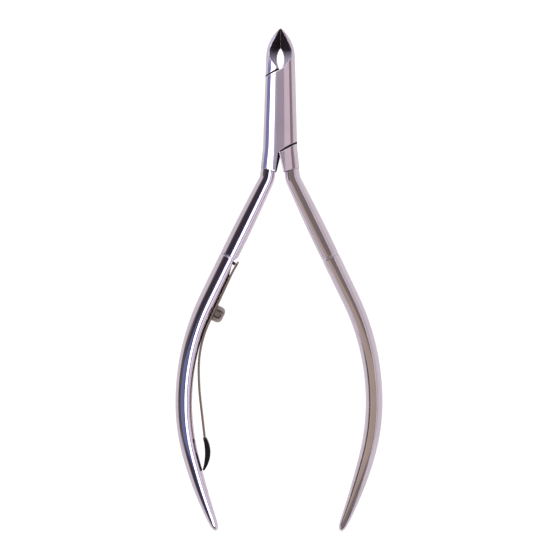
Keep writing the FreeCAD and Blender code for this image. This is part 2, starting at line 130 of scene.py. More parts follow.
# ---- shape of the handles ----------------------------------------------------------------------------
HANDLE_START = (2.36, -11.6)
HANDLE_POWER = 2.3
HANDLE_PATH = [
    ("line", 7.0, 7.0, 2.0),
    ("arc", 7.0, 26.0, 4.0),
    ("line", 26.0, 26.0, 27.2),
    ("arc", 26.0, 0.0, 49.3),
    ("arc", 0.0, -15.0, 44.0),
    ("arc", -15.0, -22.5, 110.0),
    ("line", -22.5, -22.5, 2.0),
]
HANDLE_SECTIONS = [
    (0.0, 1.56, 2.16),
    (0.018, 1.58, 2.18),
    (0.036, 1.60, 2.20),
    (0.055, 1.66, 2.21),
    (0.1, 1.76, 2.25),
    (0.2, 1.90, 2.36),
    (0.32, 1.88, 2.47),
    (0.45, 1.82, 2.56),
    (0.58, 1.79, 2.60),
    (0.69, 1.77, 2.57),
    (0.78, 1.68, 2.42),
    (0.86, 1.50, 2.10),
    (0.925, 1.22, 1.66),
    (0.965, 1.00, 1.30),
    (0.985, 0.82, 1.02),
    (0.995, 0.58, 0.70),
    (1.0, 0.28, 0.34),
]
GROOVE_AT = 0.258
GROOVE_WIDE = 0.42
GROOVE_DEEP = 0.1
GROOVE_SHOULDER = 1.5  # how far the groove's walls spread, and the bright mark, in half widths
MARK_SPREAD = 1.1
MARK_INNER_END = -0.3  # how far across the handle the turned mark is bright
HANDLE_RINGS = 1001
HANDLE_AROUND = 96

# ---- shape of the spring, its screw and its seat -----------------------------------------------------
LEAF_T = 0.50
LEAF_START = (-8.59, -31.60)
LEAF_PATH = [
    ("line", -30.0, -30.0, 1.7),
    ("arc", -30.0, -24.7, 16.0),
    ("line", -24.7, -24.7, 10.9),
    ("arc", -24.7, 0.0, 23.2),
    ("arc", 0.0, 6.8, 58.0),
    ("line", 6.8, 6.8, 10.8),
]
LEAF_W = 2.9
LEAF_END_W = 2.1
LEAF_POWER = 7.0
LEAF_TAPER_FROM = 17.9
LEAF_TAIL_ROUND = 1.25
LEAF_RINGS = 400
LEAF_SAMPLES = 800
LEAF_AROUND = 48
SCREW_AT = (-13.7136, -42.2)
SCREW_LEAN = math.radians(24.7)
SCREW_AXIS = (math.cos(SCREW_LEAN), -math.sin(SCREW_LEAN))
SCREW_HEAD_R = 1.74
SCREW_HEAD_H = 2.0
SCREW_DOME = 1.3
SCREW_FOOT_SOFT = 0.15
SCREW_LIFT = 0.01
SLOT_W = 0.5
SLOT_DEPTH = 0.8
SLOT_TURN = 20.0
SCREW_BOX = ((SCREW_AT[0] - 1.6, SCREW_AT[1] - 3.6, 0.6), (SCREW_AT[0] + 3.4, SCREW_AT[1] + 2.2, 4.6))
SEAT_UPPER_Y = -34.4
SEAT_LOWER_Y = -48.6
SEAT_CLEAR = 0.012
SEAT_FADE_UPPER = 1.0
SEAT_FADE_LOWER = 1.5
SEAT_LIFT_MOST = 0.6
SEAT_DIP = [(-8.7, -30.8), (-9.75, -31.5), (-10.52, -34.5)]  # outer side of the dip above the seat


def path_length(path):
    """Length of lines and arcs, each given as its kind, first and last angle, and length or radius."""
    return sum(s if k == "line" else s * math.radians(abs(b - a)) for k, a, b, s in path)


HANDLE_LENGTH = path_length(HANDLE_PATH)
LEAF_LENGTH = path_length(LEAF_PATH)


# ---- signed distances --------------------------------------------------------------------------------
def smooth_max(a, b, round_off=SOFT):
    """The larger of two distances, with the edge between them rounded off a little."""
    near = np.maximum(0.0, 1.0 - np.abs(a - b) / round_off)
    return np.maximum(a, b) + 0.25 * round_off * near * near


def circle_through(a, b, c):
    """Centre and radius of the circle through three points in plan."""
    (ax, ay), (bx, by), (cx, cy) = a, b, c
    d = 2 * (ax * (by - cy) + bx * (cy - ay) + cx * (ay - by))
    a2, b2, c2 = ax * ax + ay * ay, bx * bx + by * by, cx * cx + cy * cy
    x = (a2 * (by - cy) + b2 * (cy - ay) + c2 * (ay - by)) / d
    y = (a2 * (cx - bx) + b2 * (ax - cx) + c2 * (bx - ax)) / d
    return x, y, math.hypot(ax - x, ay - y)


def arc_side(points, inside):
    """Distance in plan to the circle through three points, negative on the side of `inside`."""
    x0, y0, r = circle_through(*points)
    sign = 1.0 if math.hypot(inside[0] - x0, inside[1] - y0) < r else -1.0
    return lambda x, y: sign * (np.hypot(x - x0, y - y0) - r)


jaw_edge = arc_side(JAW_ARC, IN_JAW)
jaw_room_edge = arc_side(JAW_ROOM_ARC, IN_JAW)
over_edge = arc_side(OVER_ARC, IN_NECK)
core_edge = arc_side(CORE_ARC, IN_NECK)
room_edge = arc_side(ROOM_ARC, IN_NECK)


def front_fork_x(y):
    """Inner side of the right neck in its front half, beside the gap between the necks."""
    return FRONT_FORK_X + FRONT_FORK_LEAN * (CROTCH_Y - y)


def back_fork_x(y):
    """The same in its back half."""
    return BACK_FORK_X + BACK_FORK_LEAN * (CROTCH_Y - y)


def jaw_room(x, y):
    """Room that the lap leaves for the other lever's jaw."""
    return np.maximum(jaw_room_edge(x, y), x - EDGE_GAP / 2)


def step_side(x, y):
    """Negative above the shoulder where the right neck steps down to its handle."""
    tilt = math.radians(STEP_TILT)
    return ((STEP_AT[1] - y) + math.tan(tilt) * (x - STEP_AT[0])) * math.cos(tilt)


def head_half_width(y):
    """Half the head's width: a pointed arch towards the tip, and straight sides that flare to the neck."""
    rise = TIP_Y + TIP_BLUNT - NOSE_Y
    radius = (rise**2 + NOSE_HALF**2) / (2 * NOSE_HALF)
    up = np.clip(y - NOSE_Y, 0.0, rise - 0.01)
    rounded = NOSE_HALF - radius + np.sqrt(radius**2 - up**2)
    straight = NOSE_HALF + SIDE_FLARE * (NOSE_Y - y) + NECK_FLARE * np.maximum(0.0, NECK_Y - y)
    return np.where(y > NOSE_Y, rounded, straight)


def head_blank(x, y, z):
    """The head before the lap, the hollow and the bore are cut: its section is a superellipse."""
    share = np.clip((y - FRONT_FALL_Y) / (TIP_Y - FRONT_FALL_Y), 0.0, 1.05)
    top = HEAD_T - FRONT_FALL * share**FRONT_FALL_POWER
    rise = EDGE_SLOPE * (y - BACK_RISE_Y)
    bottom = -BACK_LAND + 0.5 * (rise + np.sqrt(rise**2 + BACK_RISE_SOFT**2))
    half_w = head_half_width(y)
    half_h = np.maximum((top - bottom) / 2, LEAST_HALF_T)
    a = np.abs(x) / half_w
    b = np.abs(z - (top + bottom) / 2) / half_h
    s = np.maximum(a**HEAD_POWER + b**HEAD_POWER, 1e-6)
    level = s ** (1 / HEAD_POWER)
    slope = s ** (1 / HEAD_POWER - 1) * np.hypot(
        a ** (HEAD_POWER - 1) / half_w, b ** (HEAD_POWER - 1) / half_h
    )
    blank = (level - 1) / np.maximum(slope, LEAST_SLOPE)
    return smooth_max(np.maximum(blank, y - TIP_Y), -z, CRISP)


def groove(x, y, z):
    """The ground hollow in front of the cutting edges."""
    bottom = EDGE_SLOPE * np.maximum(0.0, y - BACK_RISE_Y) + EDGE_LAND
    walls = (bottom + np.abs(x) / HOLLOW_TAN - z) / math.sqrt(1 + EDGE_SLOPE**2 + HOLLOW_TAN**-2)
    x0, y0, r = circle_through((0, HOLLOW_Y0), HOLLOW_BEND, (HOLLOW_HALF, HOLLOW_WIDE_Y))
    curved = np.hypot(np.abs(x) - x0, y - y0) - r
    plan = np.where(y > HOLLOW_WIDE_Y, np.abs(x) - HOLLOW_HALF, curved)
    return np.maximum(walls, np.maximum(plan, HOLLOW_Y0 - y))


def relief(x, y, z):
    """The pointed opening that goes right through behind the cutting edges."""
    lift = np.clip((z - RELIEF_FROM_Z) / (RELIEF_TO_Z - RELIEF_FROM_Z), 0.0, 1.0)
    half = RELIEF_HALF_BACK + (RELIEF_HALF_FRONT - RELIEF_HALF_BACK) * lift
    low, high = RELIEF_LOW_Y, RELIEF_TOP_Y + RELIEF_LEAN * lift
    radius = (((high - low) / 2) ** 2 + half**2) / (2 * half)
    return np.hypot(np.abs(x) - (half - radius), y - (low + high) / 2) - radius


def rivet_form(x, y, z, clear=0.0):
    """A pin with a countersunk head at both ends, on the pivot axis."""
    r = np.hypot(x, y)
    slope = (RIVET_HEAD_R - RIVET_R) / RIVET_HEAD_H
    near_end = np.maximum(RIVET_HEAD_H - z, z - (HEAD_T - RIVET_HEAD_H))
    wall = RIVET_R + slope * np.maximum(0.0, near_end)
    return (r - wall - clear) * RIVET_SLANT


def head_pieces(x, y, z, front):
    """Distance to one lever's head. The front lever's neck is the rear one's turned over."""
    side = -1.0 if front else 1.0
    lap_side = (MID_Z + LAP_GAP / 2 - z) if front else (z - MID_Z + LAP_GAP / 2)
    other_side = (z - MID_Z + LAP_GAP / 2) if front else (MID_Z + LAP_GAP / 2 - z)
    blank = head_blank(x, y, z)
    lap = smooth_max(blank, lap_side, CRISP)
    lap = smooth_max(lap, -jaw_room(-side * x, y))
    shoulder = smooth_max(lap, -room_edge(-side * x, y))
    lap = np.minimum(shoulder, smooth_max(lap, back_fork_x(y) - side * x, BACK_FORK_SOFT))
    jaw = np.maximum(smooth_max(blank, jaw_edge(side * x, y)), side * x + EDGE_GAP / 2)
    core = smooth_max(blank, core_edge(side * x, y))
    core = np.maximum(core, back_fork_x(y) - side * x)
    over = smooth_max(blank, over_edge(side * x, y))
    over = smooth_max(over, front_fork_x(y) - side * x)
    over = np.maximum(over, other_side)
    whole = np.minimum(np.minimum(lap, jaw), np.minimum(core, over))
    whole = smooth_max(whole, np.where(y < 0, step_side(side * x, y), FAR_INSIDE), STEP_SOFT)
    whole = smooth_max(whole, -groove(x, y, z), GROUND_SOFT)
    whole = smooth_max(whole, -relief(x, y, z), GROUND_SOFT)
    if not front:
        whole = smooth_max(whole, -rivet_form(x, y, z, BORE_CLEAR), BORE_SOFT)
    return whole


def front_head(x, y, z):
    return head_pieces(x, y, z, True)


def rear_head(x, y, z):
    return head_pieces(x, y, z, False)


def rivet(x, y, z):
    """The rivet, ground flush with the back; its front end stays inside the front plate."""
    body = np.maximum(head_blank(x, y, z), z - (HEAD_T - RIVET_COVER))
    return smooth_max(body, rivet_form(x, y, z), CRISP)


# ---- meshes ------------------------------------------------------------------------------------------
def gradient(field, points):
    """Unit direction in which a field grows, at each point."""
    step = 0.01
    parts = []
    for axis in range(3):
        low, high = points.copy(), points.copy()
        low[:, axis] -= step
        high[:, axis] += step
        parts.append(field(*high.T) - field(*low.T))
    g = np.stack(parts, 1)
    return g / np.maximum(np.linalg.norm(g, axis=1, keepdims=True), 1e-9)


def surface_of(field, low, high, voxel, crease_x=None):
    """Points, quads and normals of a field's zero surface inside a box. A crease in the plane of one x
    is made sharp, with the normals of the outer face."""
    axes = [np.arange(a, b + voxel, voxel) for a, b in zip(low, high)]
    x, y, z = np.meshgrid(*axes, indexing="ij")
    band = BAND * voxel
    values = np.clip(field(x, y, z), -band, band).astype(np.float32)
    grid = openvdb.FloatGrid(band)
    grid.copyFromArray(values)
    grid.transform = openvdb.createLinearTransform(voxelSize=voxel)
    points, quads = grid.convertToQuads(isovalue=0.0)
    points = points.astype(float) + np.array(low)
    for _ in range(SNAP_TIMES):
        normals = gradient(field, points)
        points -= normals * np.clip(field(*points.T), -voxel, voxel)[:, None] * SNAP_SHARE
    normals = gradient(field, points)
    if crease_x is not None:
        sharpen(points, normals, crease_x, voxel, head_blank, (0.0, 1.0, 1.0))
        sharpen(points, normals, crease_x, voxel, lambda *p: -groove(*p), (0.0, 0.0, 1.0))
    return points, quads, normals


def sharpen(points, normals, crease_x, voxel, face, free):
    """Pull the points where a face meets the plane of the cutting edges onto the edge itself. Each axis
    is free to move (1) or held (0)."""
    reach = CREASE_REACH * voxel
    near = (np.abs(points[:, 0] - crease_x) < reach) & (points[:, 1] > RELIEF_TOP_Y)
    near &= face(*points.T) > -reach
    edge = points[near]
    edge[:, 0] = crease_x
    for _ in range(3):
        outward = gradient(face, edge) * np.array(free)
        steepness = (outward**2).sum(1, keepdims=True)
        edge -= outward * face(*edge.T)[:, None] / np.maximum(steepness, 0.2)
    points[near] = edge
    normals[near] = gradient(face, edge)


def mesh_object(name, points, faces, normals=None):
    """A smooth-shaded object from points in millimetres."""
    mesh = bpy.data.meshes.new(name)
    mesh.from_pydata((np.asarray(points) * MM).tolist(), [], [list(map(int, f)) for f in faces])
    mesh.polygons.foreach_set("use_smooth", np.ones(len(mesh.polygons), bool))
    if normals is not None:
        mesh.normals_split_custom_set_from_vertices(np.asarray(normals).tolist())
    mesh.update()
    thing = bpy.data.objects.new(name, mesh)
    bpy.context.scene.collection.objects.link(thing)
    return thing


def path_frames(path, start, count):
    """Evenly spaced points along lines and arcs, with each one's angle from -Y towards +X."""
    total = path_length(path)
    wanted = np.linspace(0.0, total, count)
    points, angles = np.zeros((count, 2)), np.zeros(count)
    at, x, y = 0.0, start[0], start[1]
    for kind, first, last, size in path:
        length = size if kind == "line" else size * math.radians(abs(last - first))
        here = (wanted >= at - 1e-9) & (wanted <= at + length + 1e-9)
        t = wanted[here] - at
        a = math.radians(first)
        if kind == "line":
            points[here] = np.stack([x + math.sin(a) * t, y - math.cos(a) * t], 1)
            angles[here] = first
            x, y = x + math.sin(a) * length, y - math.cos(a) * length
        else:
            side = 1.0 if last > first else -1.0
            cx, cy = x + math.cos(a) * size * side, y + math.sin(a) * size * side
            turned = np.radians(first + (last - first) * t / length)
            points[here] = np.stack(
                [cx - np.cos(turned) * size * side, cy - np.sin(turned) * size * side], 1
            )
            angles[here] = np.degrees(turned)
            b = math.radians(last)
            x, y = cx - math.cos(b) * size * side, cy - math.sin(b) * size * side
        at += length
    return points, angles, wanted / total


def smooth_table(shares, table, column):
    """A smooth curve through one column of the section table, without overshoot."""
    x = np.array([row[0] for row in table])
    y = np.array([row[column] for row in table])
    d = np.diff(y) / np.diff(x)
    m = np.zeros(len(x))
    m[0], m[-1] = d[0], d[-1]
    same = d[:-1] * d[1:] > 0
    m[1:-1] = np.where(same, 2 * d[:-1] * d[1:] / np.where(same, d[:-1] + d[1:], 1.0), 0.0)
    i = np.clip(np.searchsorted(x, shares) - 1, 0, len(x) - 2)
    h = x[i + 1] - x[i]
    t = (shares - x[i]) / h
    return (
        (2 * t**3 - 3 * t**2 + 1) * y[i]
        + (t**3 - 2 * t**2 + t) * h * m[i]
        + (-2 * t**3 + 3 * t**2) * y[i + 1]
        + (t**3 - t**2) * h * m[i + 1]
    )


def leaf_offset(points):
    """How far each plan point stands off the leaf's centre line, the way off it, and where it is seated."""
    line, angles, _ = path_frames(LEAF_PATH, LEAF_START, LEAF_SAMPLES)
    a = np.radians(angles)
    across = np.stack([np.cos(a), np.sin(a)], 1)
    away = points[:, None, :] - line[None, :, :]
    nearest = np.argmin((away**2).sum(2), axis=1)
    offset = (away[np.arange(len(points)), nearest] * across[nearest]).sum(1)
    seated = (points[:, 1] < SEAT_UPPER_Y) & (points[:, 1] > SEAT_LOWER_Y)
    return offset, across[nearest], seated


def seat_left_handle(points, around):
    """Bring the handle's inner side flush with the leaf's underside, and cut the dip over the pin."""
    seat = -LEAF_T / 2 - SEAT_CLEAR
    offset, across, seated = leaf_offset(points[:, :2])
    rings = offset.reshape(-1, around)
    innermost = rings.max(1, keepdims=True)
    middle = rings.mean(1, keepdims=True)
    inner = np.clip((rings - middle) / (innermost - middle), 0.0, 1.0) ** 2
    height = points[:, 1].reshape(-1, around)
    fade = np.clip((height - SEAT_LOWER_Y) / SEAT_FADE_LOWER, 0.0, 1.0)
    fade *= np.clip((SEAT_UPPER_Y - height) / SEAT_FADE_UPPER, 0.0, 1.0)
    lift = np.clip(seat - innermost, 0.0, SEAT_LIFT_MOST) * inner * fade
    points[:, :2] += across * lift.reshape(-1, 1)
    past = np.where(seated, offset + lift.ravel() - seat, 0.0)
    points[:, :2] -= across * np.maximum(past, 0.0)[:, None]
    dip_x, dip_y = zip(*SEAT_DIP)
    above = (points[:, 1] < dip_y[0]) & (points[:, 1] >= SEAT_UPPER_Y)
    limit = np.interp(-points[:, 1], [-y for y in dip_y], dip_x)
    points[above, 0] = np.minimum(points[above, 0], limit[above])


def sweep(line, angles, half_w, half_d, power, around):
    """Superellipses along a line in plan, as points, quads with end caps, and their place across."""
    t = np.linspace(0, 2 * math.pi, around, endpoint=False)
    c, s = np.cos(t), np.sin(t)
    u = np.sign(c) * np.abs(c) ** (2 / power)
    w = np.sign(s) * np.abs(s) ** (2 / power)
    a = np.radians(angles)
    across = np.stack([np.cos(a), np.sin(a)], 1)
    plan = line[:, None, :] + across[:, None, :] * (u[None, :, None] * half_w[:, None, None])
    z = MID_Z + w[None, :] * half_d[:, None]
    points = np.concatenate([plan, z[:, :, None]], 2).reshape(-1, 3)
    rings = len(line)
    faces = []
    for i in range(rings - 1):
        for j in range(around):
            k = (j + 1) % around
            this, following = i * around, (i + 1) * around
            faces.append([following + j, following + k, this + k, this + j])
    faces.append(list(range(around)))
    faces.append([(rings - 1) * around + j for j in reversed(range(around))])
    return points, faces, u


def handle_mesh(left):
    """One handle, a crowned section swept along its bow, and which of its quads are in the turned mark."""
    line, angles, shares = path_frames(HANDLE_PATH, HANDLE_START, HANDLE_RINGS)
    half_w = smooth_table(shares, HANDLE_SECTIONS, 1)
    half_d = smooth_table(shares, HANDLE_SECTIONS, 2)
    mark = np.abs(shares - GROOVE_AT) * HANDLE_LENGTH / (GROOVE_WIDE / 2)
    sink = GROOVE_DEEP * np.clip(GROOVE_SHOULDER - mark, 0.0, 1.0)
    half_w, half_d = half_w - sink, half_d - sink
    points, faces, u = sweep(line, angles, half_w, half_d, HANDLE_POWER, HANDLE_AROUND)
    marked = (mark[:-1, None] < MARK_SPREAD) & (u[None, :] > MARK_INNER_END)
    if left:
        points[:, 0] *= -1
        faces = [face[::-1] for face in faces]
        seat_left_handle(points, HANDLE_AROUND)
    return points, faces, marked.ravel()


def leaf_mesh():
    """The leaf spring: a flat strip with rounded edges, a round tail and a tapering free end."""
    line, angles, shares = path_frames(LEAF_PATH, LEAF_START, LEAF_RINGS)
    along = shares * LEAF_LENGTH
    half = np.interp(along, [LEAF_TAPER_FROM, LEAF_LENGTH], [LEAF_W / 2, LEAF_END_W / 2])
    tail = np.clip(1.0 - along / LEAF_TAIL_ROUND, 0.0, 0.98)
    half_d = half * np.sqrt(1.0 - tail**2)
    half_t = np.full(len(line), LEAF_T / 2)
    points, faces, _ = sweep(line, angles, half_t, half_d, LEAF_POWER, LEAF_AROUND)
    return points, faces


def screw_head(x, y, z):
    """Distance to the screw's domed, slotted head, which stands on the leaf's inner face."""
    at, axis = SCREW_AT, SCREW_AXIS
    up = (x - at[0]) * axis[0] + (y - at[1]) * axis[1] - LEAF_T / 2
    side = (x - at[0]) * axis[1] - (y - at[1]) * axis[0]
    height = z - MID_Z
    body = smooth_max(np.hypot(side, height) - SCREW_HEAD_R, up - SCREW_HEAD_H, SCREW_DOME)
    body = smooth_max(body, SCREW_LIFT - up, SCREW_FOOT_SOFT)
    turn = math.radians(SLOT_TURN)
    slot = np.abs(side * math.cos(turn) + height * math.sin(turn)) - SLOT_W / 2
    slot = np.maximum(slot, SCREW_HEAD_H - SLOT_DEPTH - up)
    return smooth_max(body, -slot)


def head_faces_by_kind(centres, left):
    """Which material each face of a head takes: 0 plain, 1 hollow, painted shade that darkens towards the
    tip, 2 relief, 3 inside the lap and a spot at the crotch, painted shade for the gaps.
    """
    x, y, z = centres.T
    side = -1.0 if left else 1.0
    hollow = np.abs(groove(x, y, z)) < FACE_NEAR
    through = np.abs(relief(x, y, z)) < FACE_NEAR
    # Faces inside the lap and a spot at the crotch take the near-black lap material: painted shade in the
    # gaps.
    inside = head_blank(x, y, z) < -FACE_NEAR
    crotch_shade = np.hypot(side * x - FRONT_FORK_X, y - CROTCH_Y - CROTCH_SHADE_Y) < CROTCH_SHADE_R
    crotch_shade &= np.abs(over_edge(side * x, y)) < CROTCH_SHADE_DEPTH
    crotch_shade &= (z > MID_Z) != left
    return np.select([through, hollow, inside | crotch_shade], [2, 1, 3], 0).astype(np.int32)


# ---- materials ---------------------------------------------------------------------------------------
FINE = 0.00002  # depth of the polishing marks and of the plastic's texture, in metres
MARKS = (4.0, 6.0, 0.6)  # scale, detail and roughness of the polishing marks' noise
CLOUDS = (160.0, 4.0, 0.5)
MOULDED = (1500.0, 3.0, 0.5)
EVEN_GRAIN = (600.0, 600.0, 600.0)
LONG_GRAIN = (900.0, 60.0, 900.0)
TINT = 0.04  # how much darker and lighter the clouds in the steel are
CLOUD_RANGE = (0.3, 0.7)


def new_material(name):
    """A material, its node tree and its shader."""
    m = bpy.data.materials.new(name)
    m.use_nodes = True
    tree = m.node_tree
    shader = tree.nodes["Principled BSDF"]
    return m, tree, shader


def add(tree, kind, **values):
    """A new node, with the given properties or inputs set."""
    node = tree.nodes.new(kind)
    for key, value in values.items():
        if hasattr(node, key):
            setattr(node, key, value)
        else:
            node.inputs[key.replace("_", " ")].default_value = value
    return node


def map_range(tree, value, low, high, from_low=0.0, from_high=1.0):
    """The value, brought from one range into another."""
    node = add(tree, "ShaderNodeMapRange")
    node.inputs["From Min"].default_value = from_low
    node.inputs["From Max"].default_value = from_high
    node.inputs["To Min"].default_value = low
    node.inputs["To Max"].default_value = high
    tree.links.new(value, node.inputs["Value"])
    return node.outputs["Result"]


def noise(tree, place, scale, detail, rough):
    node = add(tree, "ShaderNodeTexNoise", Scale=scale, Detail=detail, Roughness=rough)
    tree.links.new(place, node.inputs["Vector"])
    return node.outputs["Fac"]


def colour_ramp(tree, value, stops):
    """The colour at a value, between stops of a position and a colour."""
    node = add(tree, "ShaderNodeValToRGB")
    elements = node.color_ramp.elements
    while len(elements) < len(stops):
        elements.new(0.5)
    for element, (position, colour) in zip(elements, stops):
        element.position = position
        element.color = (*colour, 1)
    tree.links.new(value, node.inputs["Fac"])
    return node.outputs["Color"]


def fine_bump(tree, height, strength, shader):
    node = add(tree, "ShaderNodeBump")
    node.inputs["Strength"].default_value = strength
    node.inputs["Distance"].default_value = FINE
    tree.links.new(height, node.inputs["Height"])
    tree.links.new(node.outputs["Normal"], shader.inputs["Normal"])


def steel(name, colour, smooth, rough, grain, grain_scale=LONG_GRAIN, metallic=1.0, fade=None):
    """Polished steel: fine lengthwise polishing marks, a little cloudiness, slightly uneven gloss. A
    fade is two places along Y, in metres, and the colour that the steel has below them; between them the
    steel changes from that colour to its own, which is painted shade."""
    m, tree, shader = new_material(name)
    link = tree.links.new
    shader.inputs["Metallic"].default_value = metallic
    place = add(tree, "ShaderNodeTexCoord").outputs["Object"]
    stretch = add(tree, "ShaderNodeMapping")
    stretch.inputs["Scale"].default_value = grain_scale
    link(place, stretch.inputs["Vector"])
    marks = noise(tree, stretch.outputs["Vector"], *MARKS)
    clouds = noise(tree, place, *CLOUDS)
    both = add(tree, "ShaderNodeMix", data_type="FLOAT")
    both.inputs[0].default_value = 0.5
    link(marks, both.inputs[2])
    link(clouds, both.inputs[3])
    gloss = map_range(tree, both.outputs[0], smooth, rough, *CLOUD_RANGE)
    link(gloss, shader.inputs["Roughness"])
    darker = [c * (1 - TINT) for c in colour]
    lighter = [min(1, c * (1 + TINT)) for c in colour]
    tinted = colour_ramp(tree, clouds, list(zip(CLOUD_RANGE, (darker, lighter))))
    if fade:
        low_y, high_y, colour_below = fade
        split = add(tree, "ShaderNodeSeparateXYZ")
        link(place, split.inputs["Vector"])
        two = add(tree, "ShaderNodeMix", data_type="RGBA")
        two.inputs["A"].default_value = (*colour_below, 1)
        link(map_range(tree, split.outputs["Y"], 0.0, 1.0, low_y, high_y), two.inputs["Factor"])
        link(tinted, two.inputs["B"])
        tinted = two.outputs["Result"]
    link(tinted, shader.inputs["Base Color"])
    fine_bump(tree, marks, grain, shader)
    return m


def black_plastic():
    """Glossy black moulding with a very fine grain."""
    m, tree, shader = new_material("nose_black")
    link = tree.links.new
    place = add(tree, "ShaderNodeTexCoord").outputs["Object"]
    fine = noise(tree, place, *MOULDED)
    shade = colour_ramp(tree, fine, [(0.0, (0.004, 0.004, 0.008)), (1.0, (0.016, 0.015, 0.026))])
    link(shade, shader.inputs["Base Color"])
    link(map_range(tree, fine, 0.2, 0.34), shader.inputs["Roughness"])
    shader.inputs["Specular IOR Level"].default_value = 0.35
    fine_bump(tree, fine, 0.15, shader)
    return m


# ---- light and camera --------------------------------------------------------------------------------
ROOM_COLOURS = [  # from the horizon to straight up
    (0.0, (0.78, 0.75, 0.81)),
    (0.20, (0.76, 0.72, 0.78)),
    (0.38, (0.55, 0.50, 0.55)),
    (0.52, (0.10, 0.085, 0.09)),
    (0.80, (0.06, 0.045, 0.055)),
    (1.0, (0.05, 0.042, 0.052)),
]
# where the room is dim: an axis of the direction, and the values at which that begins and is complete
DIM_SECTOR = (("X", -0.5, -0.62), ("Y", 0.34, 0.2), ("Z", 0.76, 0.70))
DIM_COLOUR = (0.12, 0.10, 0.10, 1)
FLOOR_SIZE = 6.0  # in metres, as is the drop
FLOOR_DROP = 0.00002
FLOOR_GLOW = (0.62, 0.97)  # in reflections, and as the camera sees it
CAMERA_DISTANCE = 500.0
CAMERA_AT = (0.1, -35.4)
CAMERA_TURN = 0.25
VIEW_WIDTH = 117.1
SENSOR_WIDTH = 36.0


def dim_sector(tree, split):
    """A value that is one where the room is dim: towards -X, up to about half way to the zenith."""
    link = tree.links.new
    product = None
    for axis, edge, full in DIM_SECTOR:
        source = split.outputs[axis]
        if axis == "Y":
            size = add(tree, "ShaderNodeMath", operation="ABSOLUTE")
            link(source, size.inputs[0])
            source = size.outputs[0]
        share = map_range(tree, source, 0.0, 1.0, edge, full)
        if product is None:
            product = share
            continue
        times = add(tree, "ShaderNodeMath", operation="MULTIPLY")
        link(product, times.inputs[0])
        link(share, times.inputs[1])
        product = times.outputs[0]
    return product


def studio_world():
    """A soft box room: dark towards the ceiling, pale all round, plain white behind the object."""
    world = bpy.data.worlds.new("studio")
    bpy.context.scene.world = world
    world.use_nodes = True
    tree = world.node_tree
    tree.nodes.clear()
    link = tree.links.new
    where = add(tree, "ShaderNodeTexCoord")
    split = add(tree, "ShaderNodeSeparateXYZ")
    link(where.outputs["Generated"], split.inputs["Vector"])
    room = colour_ramp(tree, split.outputs["Z"], ROOM_COLOURS)
    tint = add(tree, "ShaderNodeMix", data_type="RGBA")
    tint.inputs["B"].default_value = DIM_COLOUR
    link(dim_sector(tree, split), tint.inputs["Factor"])
    link(room, tint.inputs["A"])
    light = add(tree, "ShaderNodeBackground")
    link(tint.outputs["Result"], light.inputs["Color"])
    plain = add(tree, "ShaderNodeBackground")
    plain.inputs["Color"].default_value = (1, 1, 1, 1)
    ray = add(tree, "ShaderNodeLightPath")
    mix = add(tree, "ShaderNodeMixShader")
    link(ray.outputs["Is Camera Ray"], mix.inputs["Fac"])
    link(light.outputs["Background"], mix.inputs[1])
    link(plain.outputs["Background"], mix.inputs[2])
    out = add(tree, "ShaderNodeOutputWorld")
    link(mix.outputs["Shader"], out.inputs["Surface"])


def floor():
    """A plain white floor, just under the object."""
    bpy.ops.mesh.primitive_plane_add(size=FLOOR_SIZE, location=(0, 0, -FLOOR_DROP))
    plane = bpy.context.object
    plane.name = "floor"
    m, tree, shader = new_material("floor_white")
    shader.inputs["Base Color"].default_value = (0.8, 0.8, 0.8, 1)
    shader.inputs["Roughness"].default_value = 0.9
    shader.inputs["Specular IOR Level"].default_value = 0.0
    shader.inputs["Emission Color"].default_value = (1.0, 0.99, 1.0, 1)
    ray = add(tree, "ShaderNodeLightPath")
    glow = map_range(tree, ray.outputs["Is Camera Ray"], *FLOOR_GLOW)
    tree.links.new(glow, shader.inputs["Emission Strength"])
    plane.data.materials.append(m)


def card(name, target, azimuth, low, high, length, colour, strength, receivers, distance=150.0):
    """Soft panel that fills the angles from low to high off the vertical, on one side of its target. It
    lights only the receivers."""
    middle, half = math.radians((low + high) / 2), math.radians(abs(high - low) / 2)
    a = math.radians(azimuth)
    out = Vector((math.cos(a) * math.sin(middle), math.sin(a) * math.sin(middle), math.cos(middle)))
    data = bpy.data.lights.new(name, "AREA")
    data.shape = "RECTANGLE"
    data.size = 2 * distance * math.tan(half) * MM
    data.size_y = length * MM
    data.color = colour
    data.energy = strength * math.pi * data.size * data.size_y
    light = bpy.data.objects.new(name, data)
    bpy.context.scene.collection.objects.link(light)
    side = Vector((-math.sin(a), math.cos(a), 0))
    along = side.cross(out).normalized()
    turn = Matrix((along, side, out)).transposed()
    light.matrix_world = Matrix.Translation((Vector(target) + out * distance) * MM) @ turn.to_4x4()
    light.visible_camera = False
    group = bpy.data.collections.new(name + "_on")
    for thing in receivers:
        group.objects.link(thing)
    light.light_linking.receiver_collection = group


def camera():
    """Looks straight down on the nipper."""
    data = bpy.data.cameras.new("camera")
    eye = bpy.data.objects.new("camera", data)
    bpy.context.scene.collection.objects.link(eye)
    data.sensor_width = SENSOR_WIDTH
    data.lens = SENSOR_WIDTH * CAMERA_DISTANCE / VIEW_WIDTH
    eye.location = (CAMERA_AT[0] * MM, CAMERA_AT[1] * MM, (CAMERA_DISTANCE + MID_Z) * MM)
    eye.rotation_euler = (0, 0, math.radians(CAMERA_TURN))
    data.clip_end = 20.0
    bpy.context.scene.camera = eye


